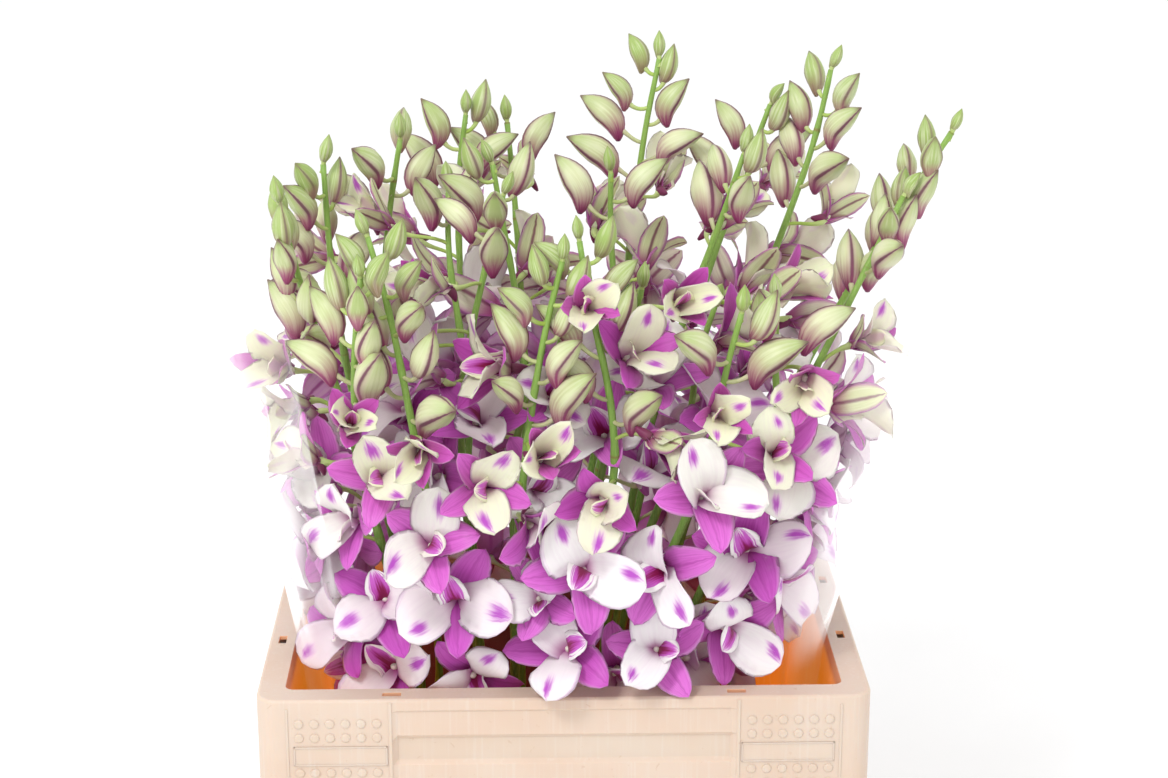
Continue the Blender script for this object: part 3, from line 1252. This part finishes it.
def column_finish():
    finish, tree, shader = start_finish("column_wax", {**PETAL_BODY, "Roughness": 0.30})
    read = read_leaf(tree, (3.0, 1.0))
    colour = coats(tree, "#E3E6BE", (
        (read["along"], 0.60, 0.92, 0.0, 0.7, "#F4F0E6"),
        (read["vein"], 0.52, 0.72, 0.0, 0.5, "#C58BB8"),
    ))
    end_finish(tree, shader, colour, read["vein"], 0.10, 0.0003)
    return finish


print(lip_finish.__name__, "and", column_finish.__name__)

# %% [markdown]
# ### Green parts
#
# Stalks are pale lime and a little glassy. Buds run from fresh green at the tip of a spray to cream-green
# on the largest ones, with a dark purple line along each keel and a purple chin. Stems are a fuller,
# waxier green with a thin brown scale at each node.

# %% Stalk, bud and stem finishes
GREEN_BODY = {"Roughness": 0.38, "IOR": 1.42, "Subsurface Weight": 0.15, "Subsurface Scale": 0.003,
              "Subsurface Radius": (0.8, 1.0, 0.4), "Specular IOR Level": 0.4}


def stalk_finish():
    finish, tree, shader = start_finish("stalk_skin", GREEN_BODY)
    read = read_leaf(tree, (5.0, 1.0))
    colour = coats(tree, "#A3BF55", (
        (read["tone"], 0.0, 1.0, 0.0, 1.0, "#BACF78"),
        (read["along"], 0.40, 0.95, 0.0, 0.5, "#D6DDAC"),
        (read["young"], 0.2, 0.7, 0.30, 0.0, "#D7A9C8"),
        (read["vein"], 0.50, 0.75, 0.0, 0.35, "#A0B95A"),
    ))
    end_finish(tree, shader, colour, read["vein"], 0.12, 0.0003)
    return finish


def bud_finish():
    finish, tree, shader = start_finish("bud_skin", GREEN_BODY)
    read = read_leaf(tree, (1.6, 2.4))
    line = add(tree, "Math", TIMES_PLUS, [read["vein"], 0.35, read["across"]])
    foot = add(tree, "Math", TIMES_PLUS, [read["vein"], 0.35, read["along"]])
    ripe = add(tree, "MapRange", SMOOTH, [read["young"], 0.45, 1.15, 1.0, 0.30])
    purple = add(tree, "Math", TIMES, [ripe, read["side"]])
    body = coats(tree, "#DBDEB4", (
        (read["tone"], 0.0, 1.0, 0.0, 0.8, "#C2CC94"),
        (read["young"], 0.15, 1.0, 0.0, 1.0, "#9AB460"),
        (read["vein"], 0.40, 0.66, 0.0, 0.45, "#E8EBCC"),
        (read["along"], 0.50, 0.98, 0.0, 0.60, "#90AA54"),
    ))
    marked = coats(tree, body, (
        (line, 0.20, 1.05, 0.0, 0.50, "#AC7C8C"),
        (line, 0.80, 1.06, 0.0, 0.90, "#6A3250"),
        (foot, 0.16, 0.66, 1.0, 0.0, "#A9527F"),
        (foot, 0.16, 0.40, 0.85, 0.0, "#8A2F62"),
        (read["along"], 0.84, 1.0, 0.0, 0.8, "#66304A"),
    ))
    colour = add(tree, "Mix", RGBA, {0: purple, 6: body, 7: marked}, 2)
    end_finish(tree, shader, colour, read["vein"], 0.25, 0.0005)
    return finish


def stem_finish():
    finish, tree, shader = start_finish("stem_skin", GREEN_BODY)
    read = read_leaf(tree, (40.0, 1.0))
    where = add(tree, "TexCoord", out="Object")
    # Fibres half a millimetre wide and 15 mm long, drawn a little coarser than they are
    stretched = add(tree, "Mapping", None, {"Vector": where, "Scale": (1200.0, 1200.0, 65.0)})
    fibre = add(tree, "TexNoise", None, {"Vector": stretched, "Scale": 1.0, "Detail": 3.0})
    colour = coats(tree, "#6B9540", (
        (read["along"], 0.45, 0.95, 0.0, 1.0, "#8AAE56"),
        (fibre, 0.42, 0.72, 0.0, 0.45, "#A6C76A"),
        (read["across"], 0.80, 0.98, 0.0, 0.75, "#8A7446"),
    ))
    end_finish(tree, shader, colour, fibre, 0.20, 0.0003)
    return finish


finishes = [sepal_finish(), petal_finish(), lip_finish(), column_finish(),
            stalk_finish(), bud_finish(), stem_finish()]
print("plant finishes:", [finish.name for finish in finishes])

# %% [markdown]
# ## The sprays
#
# One piece for each packed spray, in the same place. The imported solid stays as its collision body.

# %% Build the sprays
total = 0
for spray in plan:
    number = spray["number"]
    rng = np.random.default_rng([7, number])
    own_flowers = [f for f in flowers if f["spray"] == number]
    own_buds = [b for b in buds if b["spray"] == number]
    parts = flower_parts(own_flowers, rng) + bud_parts(own_buds, rng) + [stem_part(spray, rng)]
    made = piece(f"orchid_{number + 1:02d}", parts, finishes)
    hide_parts(f"spray_{number + 1:02d}")
    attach(made, "root")
    total += sum(len(p.vertices) - 2 for p in made.data.polygons)
print(len(plan), "sprays,", total, "triangles")

# %% [markdown]
# ## The crate
#
# Injection-moulded polypropylene, pale apricot and slightly see-through: light that enters the walls
# comes out inside as a strong orange glow, so the inside gets a finish of its own. Moulded plastic is
# satin, with a fine sparked grain. It scuffs pale where crates rub in a stack.

# %% Crate finishes
PLASTIC = {"IOR": 1.49, "Roughness": 0.44, "Subsurface Weight": 0.18, "Subsurface Scale": 0.008,
           "Subsurface Radius": (1.0, 0.55, 0.3), "Specular IOR Level": 0.4}


def plastic_finish(name, extra, base, layers):
    """Moulded plastic: clouds 60 mm wide, drag lines down the mould, scuffs, and height above the floor."""
    finish, tree, shader = start_finish(name, {**PLASTIC, **extra})
    where = add(tree, "TexCoord", out="Object")
    height = add(tree, "SeparateXYZ", None, [where], 2)
    sideways = add(tree, "Math", SIZE_OF, [add(tree, "SeparateXYZ", None, [where], 0)])
    drag = add(tree, "Mapping", None, {"Vector": where, "Scale": (420.0, 420.0, 14.0)})
    read = {
        "height": height,
        "sideways": sideways,
        "cloud": add(tree, "TexNoise", None, {"Vector": where, "Scale": 16.0, "Detail": 3.0}),
        "drag": add(tree, "TexNoise", None, {"Vector": drag, "Scale": 1.0, "Detail": 2.0}),
        "scuff": add(tree, "TexNoise", None,
                     {"Vector": where, "Scale": 130.0, "Detail": 5.0, "Distortion": 1.5}),
    }
    grit = add(tree, "TexNoise", None, {"Vector": where, "Scale": 1400.0, "Detail": 1.0})
    colour = coats(tree, base, [(read[value], *rest) for value, *rest in layers])
    if extra:
        glow = coats(tree, "#F0861C", (
            (read["sideways"], 0.10, 0.168, 1.0, 0.0, "#1C0608"),
            (read["height"], 0.244, 0.252, 0.0, 1.0, "#8A4A24"),
        ))
        tree.links.new(glow, shader.inputs["Emission Color"])
    end_finish(tree, shader, colour, grit, 0.08, 0.0002)
    return finish


outside = plastic_finish("apricot_polypropylene_moulded", {}, "#D9C5B4", (
    ("cloud", 0.35, 0.70, 0.0, 0.8, "#D6BDA9"),
    ("drag", 0.52, 0.75, 0.0, 0.35, "#DDD1C6"),
    ("scuff", 0.66, 0.74, 0.0, 0.5, "#C6A588"),
))
# The inside glows with the light that the thin walls let through, except where the flowers shade it
LIT_THROUGH = {"Emission Strength": 0.45}
inside = plastic_finish("apricot_polypropylene_glowing", LIT_THROUGH, "#E0964C", (
    ("cloud", 0.38, 0.62, 0.0, 0.8, "#D9822E"),
    ("drag", 0.50, 0.72, 0.0, 0.4, "#EDB57E"),
    ("sideways", 0.10, 0.168, 0.9, 0.0, "#6B2F3E"),
    ("height", 0.225, 0.260, 0.0, 0.75, "#EDC3A2"),
    ("height", 0.020, 0.090, 0.5, 0.0, "#B8651F"),
))
print("crate finishes:", outside.name, inside.name)

# %% [markdown]
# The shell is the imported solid's own section, with rounder corners. The slots are cut as the mould forms
# them, straight through the rim, with a Boolean. A narrow bevel then catches the light on every edge, as
# the small mould radius does on the real crate.

# %% Build the crate shell
def solid_mesh(name, points, faces):
    """A mesh from points and the faces between them."""
    mesh = bpy.data.meshes.new(name)
    mesh.from_pydata(np.asarray(points).tolist(), [], faces)
    return mesh


def box_points(low, high):
    """The eight corners and six faces of a box."""
    (x0, y0, z0), (x1, y1, z1) = low, high
    ring = [(x0, y0), (x1, y0), (x1, y1), (x0, y1)]
    return loft([np.array([(x, y, z) for x, y in ring]) for z in (z0, z1)])


SLOT_SIZE, SLOTS = (0.012, 0.005), ((-0.112, -1, 0), (0.112, -1, 0), (-0.112, 1, 0), (0.112, 1, 0),
                                    (-0.050, -1, 1), (0.050, -1, 1), (-0.050, 1, 1), (0.050, 1, 1))
CORNER_STEPS = 8

points, faces = loft(crate_rings(CORNER_STEPS))
mesh = solid_mesh("crate_shell", points, faces)
shell = show("crate_shell", mesh, outside, inside)
ring = len(crate_outline(0, 0, 0, CORNER_STEPS))
# Faces come cap first, then ring by ring; the last wall down to the floor and the floor are the inside
inner = 1 + (len(crate_rings()) - 2) * ring
mesh.polygons.foreach_set("material_index", [1 if face >= inner else 0 for face in range(len(faces))])
cutters = bpy.data.collections.new("slot_cutters")
for along, side, axis in SLOTS:
    across = side * ((CRATE_DEPTH, CRATE_WIDTH)[axis] / 2 - RIM_WIDTH / 2)
    centre = np.array([(along, across), (across, along)][axis])
    half = np.array([SLOT_SIZE, SLOT_SIZE[::-1]][axis]) / 2
    low, high = (*(centre - half), CRATE_HEIGHT - 0.02), (*(centre + half), CRATE_HEIGHT + 0.01)
    cutter = bpy.data.objects.new("slot", solid_mesh("slot", *box_points(low, high)))
    cutter.data.materials.append(inside)
    cutters.objects.link(cutter)
cut = shell.modifiers.new("slots", "BOOLEAN")
cut.operation, cut.solver, cut.operand_type, cut.collection = "DIFFERENCE", "MANIFOLD", "COLLECTION", cutters
graph = bpy.context.evaluated_depsgraph_get()
shell.data = bpy.data.meshes.new_from_object(shell.evaluated_get(graph))
shell.modifiers.clear()
for cutter in list(cutters.objects):
    bpy.data.objects.remove(cutter)
bpy.data.collections.remove(cutters)
edge = shell.modifiers.new("mould_radius", "BEVEL")
edge.width, edge.segments, edge.limit_method, edge.angle_limit = 0.0007, 2, "ANGLE", math.radians(35)
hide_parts("crate")
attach(shell, "root")
print("crate shell:", len(shell.data.polygons), "faces,", len(SLOTS), "slots")

# %% [markdown]
# On the skirt the mould leaves pads of raised dots, which keep stacked crates from sticking together, and
# a framed plate between the rows for a paper label. Thin upright ribs stiffen the skirt at the corners and
# beside the middle panel. The marks are low domes and bars, sunk a little into the shell. The plates stay
# bare.

# %% Build the crate's marks
DOT_RADIUS, DOT_HEIGHT, DOT_PITCH, PAD_X = 0.0033, 0.0010, 0.0101, 0.147
DOT_ROWS = (0.2434, 0.2335, 0.2086, 0.1986, 0.1886, 0.1786)
# Ribs: place across, width, how far they stand out, and the top
RIBS = ((0.1798, 0.0016, 0.0007, CRATE_HEIGHT - 0.006), (0.1130, 0.0022, 0.0008, CRATE_HEIGHT - 0.002))
PLATE_LEFT, PLATE_RIGHT, PLATE_FOOT, PLATE_TOP = 0.1150, 0.1760, 0.2137, 0.2273
PLATE_HEIGHT, BEAD_HEIGHT, BEAD_WIDTH, SUNK = 0.0004, 0.0009, 0.0012, 0.002


def dot_rings(x, z, side):
    """Raised dots as a lathe profile round each place, (n, rows, ring, 3), facing -Y or +Y."""
    profile = np.array([(1.0, -1.2), (0.94, 0.5), (0.72, 1.0), (0.35, 0.85)])
    angle = np.arange(12) * 2 * np.pi / 12
    reach, out = profile[:, :1] * DOT_RADIUS, profile[:, 1:] * DOT_HEIGHT
    rings = np.zeros((len(x), len(profile), 12, 3))
    rings[..., 0] = x[:, None, None] - side[:, None, None] * reach * np.cos(angle)
    rings[..., 1] = side[:, None, None] * (CRATE_DEPTH / 2 + out + 0 * angle)
    rings[..., 2] = z[:, None, None] + reach * np.sin(angle)
    return rings


def bar(x, side, out, z):
    """Opposite corners of a bar on the front or back wall that stands out by out."""
    face = side * CRATE_DEPTH / 2
    y = sorted((face - side * SUNK, face + side * out))
    return (x[0], y[0], z[0]), (x[1], y[1], z[1])


def plate_bars(side_x, side_y):
    """A label plate is a thin slab with a bead along each edge."""
    left, right = sorted((side_x * PLATE_LEFT, side_x * PLATE_RIGHT))
    wide, tall = (left, right), (PLATE_FOOT, PLATE_TOP)
    beads = ((wide, (PLATE_FOOT, PLATE_FOOT + BEAD_WIDTH)), (wide, (PLATE_TOP - BEAD_WIDTH, PLATE_TOP)),
             ((left, left + BEAD_WIDTH), tall), ((right - BEAD_WIDTH, right), tall))
    return [bar(wide, side_y, PLATE_HEIGHT, tall)] + [bar(x, side_y, BEAD_HEIGHT, z) for x, z in beads]


columns = [s * PAD_X + c for s in (-1, 1) for c in (np.arange(6) - 2.5) * DOT_PITCH]
x, z, side = (grid.ravel() for grid in np.meshgrid(columns, DOT_ROWS, (-1, 1)))
rings = dot_rings(x, z, side)
marks = [wrap(rings, plain_leaf(*rings.shape[:3]), np.zeros((len(x), 3)), 0)]
dots = piece("crate_dots", marks, [outside])

bars = []
for side_x, side_y in ((-1, -1), (-1, 1), (1, -1), (1, 1)):
    for middle, wide, out, high in RIBS:
        ends = (side_x * middle - wide / 2, side_x * middle + wide / 2)
        bars.append(bar(ends, side_y, out, (CRATE_HEIGHT - SKIRT_HEIGHT, high)))
    bars += plate_bars(side_x, side_y)
points, faces = [], []
for low, high in bars:
    corners, sides = box_points(low, high)
    faces += [[corner + 8 * len(points) for corner in face] for face in sides]
    points.append(corners)
ribs = show("crate_ribs", solid_mesh("crate_ribs", np.concatenate(points), faces), outside)
edge = ribs.modifiers.new("mould_radius", "BEVEL")
edge.width, edge.segments, edge.limit_method = 0.0003, 1, "ANGLE"
for made in (dots, ribs):
    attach(made, "root")
print(len(x), "dots and", len(bars), "ribs and plate bars")

# %% [markdown]
# ## Film
#
# The sleeve is clear polypropylene film. Clear film shows only where it turns edge-on, where creases
# catch the light, and where it has rubbed hazy. It is one sheet that stands round the sprays, so it is a
# grid over turn and height with slanting creases pressed into it, and a second grid a hair further in
# closes it into a thin shell.

# %% Film sheet
FILM_COLUMNS, FILM_ROWS, FILM_SKIN, FOLD = 150, 60, 0.0003, 0.0022


def film_surface():
    """The film's middle surface, (rows, columns, 3), and how far round and up each point is.

    Each column climbs from the foot to its own top edge. The solid's surface is pushed in and out by a sum
    of sine folds that slant across it and die away at the rim.
    """
    round_by, up_by = np.meshgrid(np.linspace(0, 1, FILM_COLUMNS), np.linspace(0, 1, FILM_ROWS))
    turns = np.radians(SLEEVE_START + (SLEEVE_END - SLEEVE_START) * round_by)
    top = SLEEVE_TOP + 0.018 * np.sin(3 * turns + 0.5)
    height = SLEEVE_FOOT + (top - SLEEVE_FOOT) * up_by
    middle = sleeve_point(turns, height)
    folds = np.sin(13 * turns + 11 * height) + 0.6 * np.sin(21 * turns - 16 * height + 1.0)
    fade = np.clip((height - CRATE_HEIGHT) / 0.12, 0.0, 1.0)
    x, y = ring_point(turns, 2.0)
    return middle + (FOLD * fade * folds)[..., None] * np.stack([x, y, 0 * x], -1), round_by, up_by


def shell_of(middle):
    """Points and quads of a thin closed shell: the grid half a skin out and half a skin in."""
    across, up = np.gradient(middle, axis=1), np.gradient(middle, axis=0)
    normal = np.cross(across, up)
    normal /= np.linalg.norm(normal, axis=2, keepdims=True)
    rows, columns = middle.shape[:2]
    size = rows * columns
    points = np.concatenate([(middle + side * FILM_SKIN / 2 * normal).reshape(-1, 3) for side in (1, -1)])
    grid = np.arange(size).reshape(rows, columns)
    quads = np.stack([grid[:-1, :-1], grid[:-1, 1:], grid[1:, 1:], grid[1:, :-1]], -1).reshape(-1, 4)
    border = np.concatenate([grid[0], grid[1:, -1], grid[-1, -2::-1], grid[-2:0:-1, 0]])
    after = np.roll(border, -1)
    walls = np.stack([after, border, size + border, size + after], -1)
    return points, np.concatenate([quads, size + quads[:, ::-1], walls])


middle, round_by, up_by = film_surface()
points, quads = shell_of(middle)
mesh = solid_mesh("film_sheet", points, quads.tolist())
mesh.polygons.foreach_set("use_smooth", [True] * len(quads))
values = mesh.attributes.new("film", "FLOAT_VECTOR", "POINT")
place = np.stack([round_by, up_by, 0 * up_by], -1).reshape(-1, 3)
values.data.foreach_set("vector", np.concatenate([place, place]).ravel().astype(np.float32))

# %% [markdown]
# The film's finish is mostly see-through. Its haze grows towards the two ends of the sheet, where the
# film folds round the corners of the bunch, and bright narrow creases run across it.

# %% Film finish
def film_finish():
    finish, tree, shader = start_finish("clear_film_blown", {
        "Roughness": 0.25, "IOR": 1.5, "Base Color": "#FFFFFF", "Specular IOR Level": 0.2,
        "Emission Color": "#FFFFFF", "Emission Strength": 0.45})
    place = add(tree, "Attribute", {"attribute_name": "film"}, out="Vector")
    slanted = add(tree, "Mapping", None,
                  {"Vector": place, "Rotation": (0.0, 0.0, 0.5), "Scale": (15.0, 3.0, 1.0)})
    veil = add(tree, "TexNoise", None, {"Vector": slanted, "Scale": 1.0, "Detail": 2.0, "Distortion": 0.5})
    round_by = add(tree, "SeparateXYZ", None, [place], 0)
    up_by = add(tree, "SeparateXYZ", None, [place], 1)
    from_middle = add(tree, "Math", {"operation": "SUBTRACT"}, [round_by, 0.5])
    to_ends = add(tree, "Math", SIZE_OF, [from_middle])
    grazing = add(tree, "LayerWeight", None, {"Blend": 0.5}, "Facing")
    haze = add(tree, "MapRange", SMOOTH, [veil, 0.36, 0.66, 0.03, 0.34])
    ends = add(tree, "MapRange", SMOOTH, [to_ends, 0.24, 0.44, 0.10, 1.0])
    cut_edge = add(tree, "MapRange", SMOOTH, [to_ends, 0.430, 0.495, 1.0, 0.04])
    edge_on = add(tree, "MapRange", SMOOTH, [grazing, 0.30, 1.0, 0.0, 0.34])
    over_rim = add(tree, "MapRange", SMOOTH, [up_by, 0.38, 0.50, 0.03, 1.0])
    to_top = add(tree, "MapRange", SMOOTH, [up_by, 0.70, 1.0, 1.0, 0.0])
    shown = add(tree, "Math", TIMES_PLUS, [haze, ends, edge_on])
    upright = add(tree, "Math", TIMES, [over_rim, to_top])
    faded = add(tree, "Math", TIMES, [upright, cut_edge])
    alpha = add(tree, "Math", TIMES, [shown, faded])
    tree.links.new(alpha, shader.inputs["Alpha"])
    bump = add(tree, "Bump", None, {"Strength": 0.15, "Distance": 0.002, "Height": veil})
    tree.links.new(bump, shader.inputs["Normal"])
    return finish


film = show("film_sheet", mesh, film_finish())
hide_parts("sleeve")
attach(film, "root")
print("film:", len(quads), "quads")

# %% [markdown]
# ## Water
#
# The sprays stand in a little clear water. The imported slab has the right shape, with a hole for each
# stem, so it stays, and only its finish changes: water bends light by 1.33 and is nearly mirror smooth.

# %% Water finish
water_finish, tree, shader = start_finish("clear_water", {
    "Base Color": "#EAF4EE", "Roughness": 0.03, "IOR": 1.333, "Transmission Weight": 1.0})
where = add(tree, "TexCoord", out="Object")
ripple = add(tree, "TexNoise", None, {"Vector": where, "Scale": 45.0, "Detail": 2.0})
tree.links.new(add(tree, "Bump", None, {"Strength": 0.2, "Distance": 0.001, "Height": ripple}),
               shader.inputs["Normal"])
for slot in bpy.data.objects["water"].material_slots:
    slot.material = water_finish
print("water finish:", water_finish.name)

# %% [markdown]
# ## Floor and light
#
# The picture is high key: a white studio with light from all round, and one soft lamp above the camera's
# left shoulder that models the petals. The floor is plain paper.

# %% Floor, light and background
floor_finish, tree, shader = start_finish("studio_paper", {"Roughness": 0.9, "Base Color": "#FFFFFF"})
mesh = solid_mesh("studio_floor", [(-6, -6, 0), (6, -6, 0), (6, 6, 0), (-6, 6, 0)], [(0, 1, 2, 3)])
floor = show("studio_floor", mesh, floor_finish)
floor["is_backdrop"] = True
world = bpy.data.worlds.new("studio")
bpy.context.scene.world = world
world.use_nodes = True
world.node_tree.nodes["Background"].inputs["Color"].default_value = (1.0, 1.0, 1.0, 1.0)
world.node_tree.nodes["Background"].inputs["Strength"].default_value = 1.0
lamp = bpy.data.lights.new("soft_lamp", "AREA")
lamp.shape, lamp.size, lamp.energy = "DISK", 0.6, 24.0
soft = bpy.data.objects.new("soft_lamp", lamp)
soft.location = (-0.8, -1.5, 2.1)
soft.rotation_euler = (Vector((0, 0, 0.38)) - soft.location).to_track_quat("-Z", "Y").to_euler()
bpy.context.scene.collection.objects.link(soft)
bpy.context.scene.view_settings.view_transform = "Standard"
print("lamp:", lamp.energy, "W")

# %% [markdown]
# ## Check and finish
#
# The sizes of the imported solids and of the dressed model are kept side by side, then the frame is closed.

# %% Finish
low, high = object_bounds()
